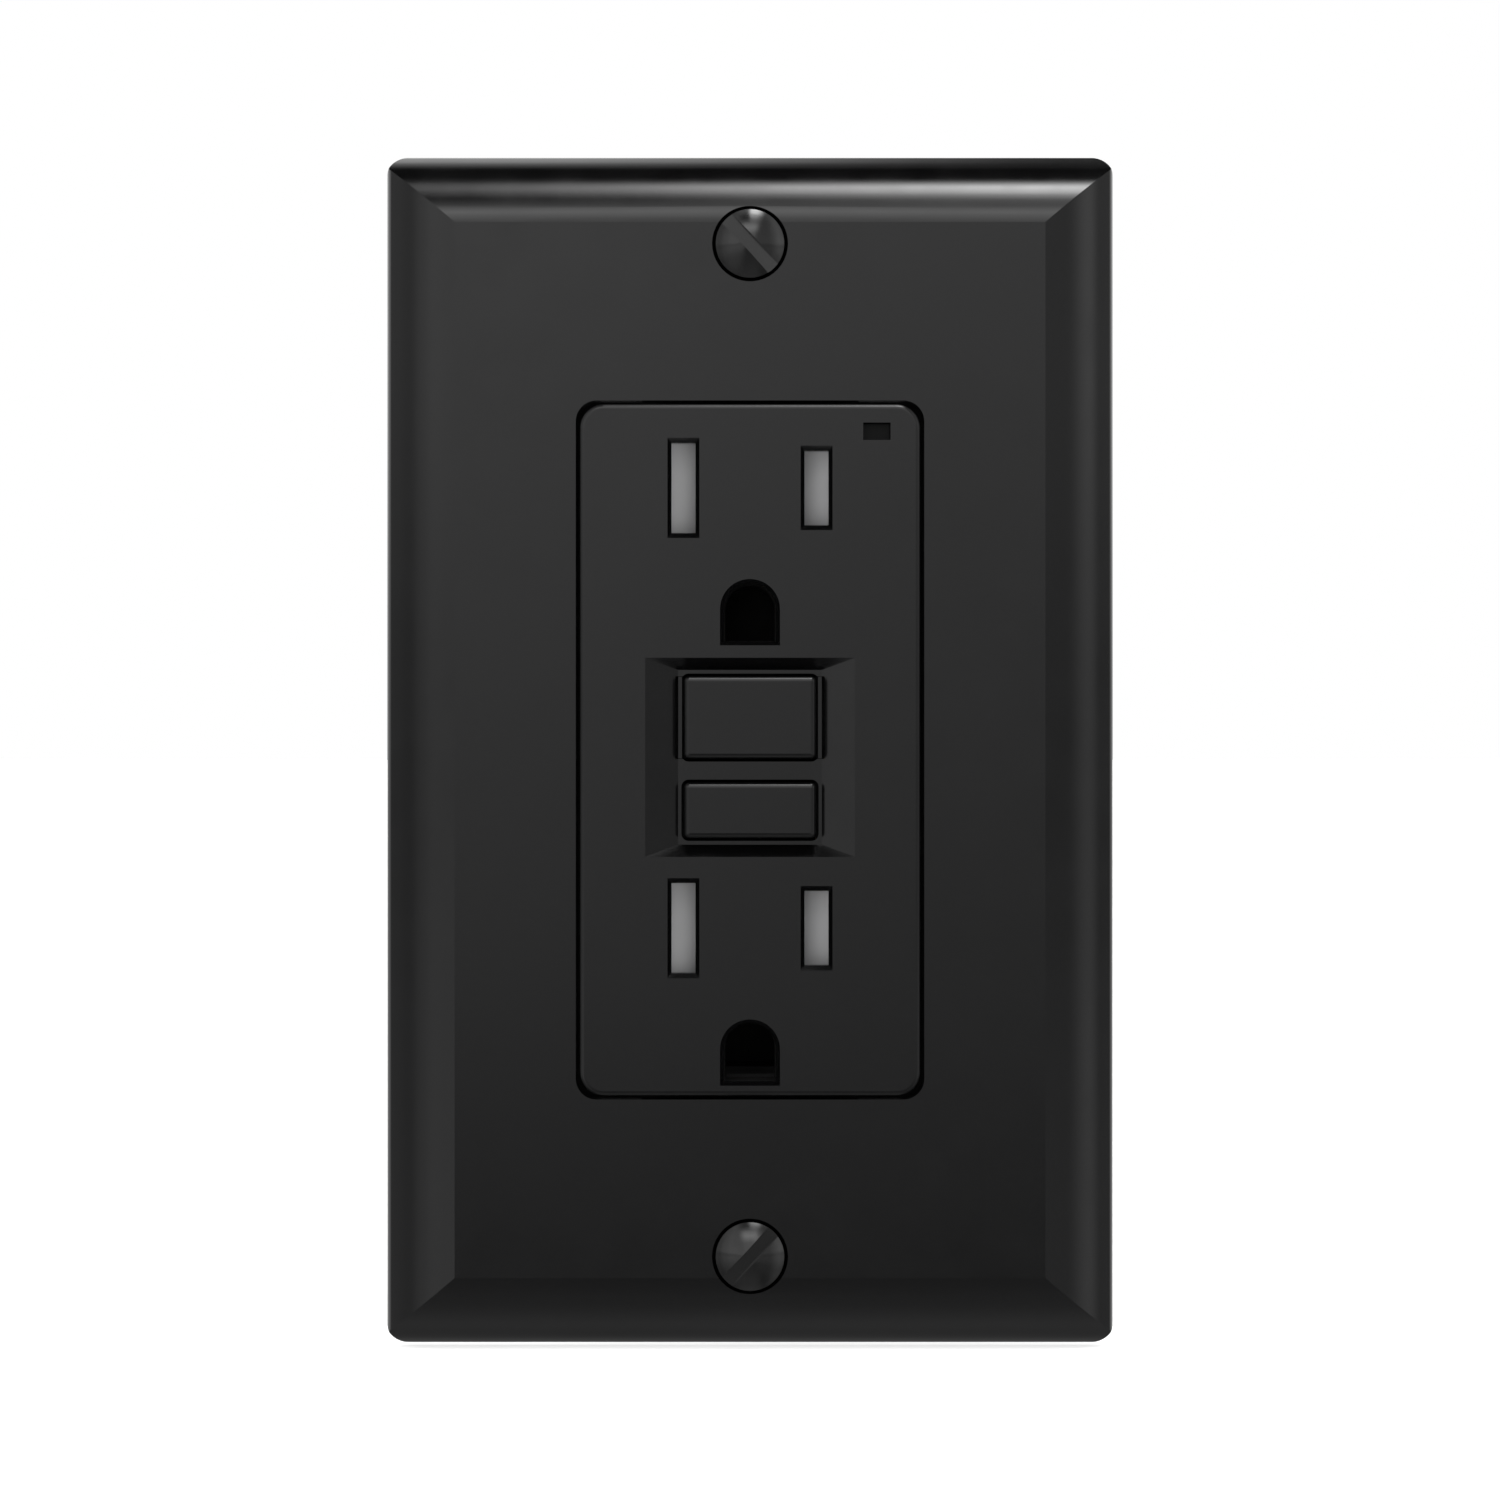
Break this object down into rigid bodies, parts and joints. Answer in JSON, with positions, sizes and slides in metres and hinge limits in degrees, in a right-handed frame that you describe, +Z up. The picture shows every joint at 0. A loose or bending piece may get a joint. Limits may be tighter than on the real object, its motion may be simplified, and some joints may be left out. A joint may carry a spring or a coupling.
{
  "type": "duplex wall outlet",
  "caption": "Ground-fault duplex wall outlet with a bevelled decorator plate, tamper-resistant shutters, reset and test buttons, steel strap, contacts, latch and trip solenoid.",
  "frame": {"origin": "centre of the plate and strap on the finished wall's plane, behind the plate", "axes": "+X to the viewer's right, +Y into the wall (the device faces -Y), +Z up"},
  "size_m": [0.0698, 0.0379, 0.1142],
  "materials": {
    "black_button": "smooth moulded black, satin sheen",
    "black_chip": "moulded epoxy",
    "black_face": "smooth moulded black, satin sheen",
    "black_housing": "moulded matte dark grey",
    "black_plate": "smooth moulded black, satin sheen",
    "black_screw": "gloss black painted steel",
    "blue_varistor": "epoxy-dipped disc",
    "brass_screw": "brass-plated steel",
    "brass_strip": "rolled brass",
    "bright_steel": "nickel-plated, polished",
    "capacitor_sleeve": "shrunk sleeve",
    "copper_strip": "phosphor bronze",
    "core_steel": "wound core, taped",
    "cream_latch": "moulded natural nylon",
    "dark_frame": "moulded dark grey",
    "enamelled_copper": "enamelled copper winding",
    "green_board": "solder mask over glass fibre",
    "green_ground": "green chromated steel",
    "grey_shutter": "moulded mid grey, slightly slick",
    "lamp_package": "moulded cream package with a clear top",
    "silver_contact": "silver alloy",
    "silver_screw": "nickel-plated steel",
    "smoked_pipe": "smoked polycarbonate",
    "spring_steel": "bright drawn wire",
    "white_bobbin": "moulded natural nylon",
    "zinc_steel": "zinc-plated sheet steel"
  },
  "bodies": {
    "outlet": {"circuit_board": "green_board", "contact_frame": "dark_frame", "control_chip": "black_chip", "fixed_contacts": "silver_contact", "front_cover": "black_face", "ground_screw": "green_ground", "hot_bus": "brass_strip", "hot_line_conductor": "brass_strip", "hot_terminal_screws": "brass_screw", "housing_screws": "silver_screw", "indicator_lamp": "lamp_package", "indicator_light_pipe": "smoked_pipe", "line_hot_terminal": "brass_strip", "line_neutral_terminal": "brass_strip", "load_hot_terminal": "brass_strip", "load_neutral_terminal": "brass_strip", "lower_ground_contact": "brass_strip", "lower_hot_shutter_spring": "spring_steel", "lower_neutral_shutter_spring": "spring_steel", "lower_shutter_tray": "black_housing", "mounting_screw_retainers": "black_chip", "mounting_screws": "silver_screw", "mounting_strap": "zinc_steel", "neutral_bus": "brass_strip", "neutral_line_conductor": "brass_strip", "neutral_terminal_screws": "silver_screw", "plunger_spring": "spring_steel", "rear_housing": "black_housing", "reset_spring": "spring_steel", "solenoid_bobbin": "white_bobbin", "solenoid_bracket": "zinc_steel", "solenoid_coil": "enamelled_copper", "storage_capacitor": "capacitor_sleeve", "surge_varistor": "blue_varistor", "test_contact_strip": "copper_strip", "test_spring": "spring_steel", "transformer_cores": "core_steel", "transformer_housing": "black_chip", "upper_ground_contact": "brass_strip", "upper_hot_shutter_spring": "spring_steel", "upper_neutral_shutter_spring": "spring_steel", "upper_shutter_tray": "black_housing", "wall_plate": "black_plate", "wall_plate_screws": "black_screw", "wire_clamps": "zinc_steel"},
    "reset_button": {"reset_button": "black_button", "reset_rod": "bright_steel"},
    "test_button": {"test_button": "black_button"},
    "upper_neutral_shutter": {"upper_neutral_shutter": "grey_shutter"},
    "upper_hot_shutter": {"upper_hot_shutter": "grey_shutter"},
    "lower_neutral_shutter": {"lower_neutral_shutter": "grey_shutter"},
    "lower_hot_shutter": {"lower_hot_shutter": "grey_shutter"},
    "latch_carriage": {"latch_carriage": "cream_latch", "latch_spring": "spring_steel"},
    "latch_plate": {"latch_plate": "zinc_steel"},
    "neutral_arm": {"neutral_contact_arm": "copper_strip", "neutral_moving_contact": "silver_contact"},
    "hot_arm": {"hot_contact_arm": "copper_strip", "hot_moving_contact": "silver_contact"},
    "solenoid_plunger": {"solenoid_plunger": "bright_steel"}
  },
  "joints": [
    {"name": "reset_press", "type": "slide", "parent": "outlet", "child": "reset_button", "axis": [0, 1, 0], "range_m": [0, 0.0025], "stiffness_N_per_m": 1000, "springref_m": -0.001, "deforming": ["reset_spring"]},
    {"name": "test_press", "type": "slide", "parent": "outlet", "child": "test_button", "axis": [0, 1, 0], "range_m": [0, 0.0015], "stiffness_N_per_m": 600, "springref_m": -0.001, "deforming": ["test_spring"]},
    {"name": "upper_neutral_shutter_slide", "type": "slide", "parent": "outlet", "child": "upper_neutral_shutter", "axis": [-1, 0, 0], "range_m": [0, 0.0032], "stiffness_N_per_m": 80, "springref_m": -0.001, "deforming": ["upper_neutral_shutter_spring"]},
    {"name": "upper_hot_shutter_slide", "type": "slide", "parent": "outlet", "child": "upper_hot_shutter", "axis": [1, 0, 0], "range_m": [0, 0.0032], "stiffness_N_per_m": 80, "springref_m": -0.001, "deforming": ["upper_hot_shutter_spring"]},
    {"name": "lower_neutral_shutter_slide", "type": "slide", "parent": "outlet", "child": "lower_neutral_shutter", "axis": [-1, 0, 0], "range_m": [0, 0.0032], "stiffness_N_per_m": 80, "springref_m": -0.001, "deforming": ["lower_neutral_shutter_spring"]},
    {"name": "lower_hot_shutter_slide", "type": "slide", "parent": "outlet", "child": "lower_hot_shutter", "axis": [1, 0, 0], "range_m": [0, 0.0032], "stiffness_N_per_m": 80, "springref_m": -0.001, "deforming": ["lower_hot_shutter_spring"]},
    {"name": "carriage_lift", "type": "slide", "parent": "outlet", "child": "latch_carriage", "axis": [0, -1, 0], "range_m": [0, 0.0007], "stiffness_N_per_m": 800, "springref_m": -0.0005},
    {"name": "plunger_stroke", "type": "slide", "parent": "outlet", "child": "solenoid_plunger", "axis": [0, 0, -1], "range_m": [0, 0.002], "stiffness_N_per_m": 200, "springref_m": -0.001, "deforming": ["plunger_spring"]},
    {"name": "latch_plate_slide", "type": "slide", "parent": "latch_carriage", "child": "latch_plate", "axis": [0, 0, -1], "range_m": [0, 0.002], "deforming": ["latch_spring"]},
    {"name": "neutral_arm_close", "type": "hinge", "parent": "outlet", "child": "neutral_arm", "pos_m": [-0.011, 0.0188, -0.0075], "axis": [1, 0, 0], "range_deg": [0, 3.9]},
    {"name": "hot_arm_close", "type": "hinge", "parent": "outlet", "child": "hot_arm", "pos_m": [0.011, 0.0188, -0.0075], "axis": [1, 0, 0], "range_deg": [0, 3.9]}
  ],
  "couplings": [
    {"joint": "upper_hot_shutter_slide", "follows": "upper_neutral_shutter_slide", "ratio": 1},
    {"joint": "lower_hot_shutter_slide", "follows": "lower_neutral_shutter_slide", "ratio": 1},
    {"joint": "neutral_arm_close", "follows": "carriage_lift", "rad_per_m": 94.34},
    {"joint": "hot_arm_close", "follows": "carriage_lift", "rad_per_m": 94.34},
    {"joint": "latch_plate_slide", "follows": "plunger_stroke", "ratio": 1}
  ]
}
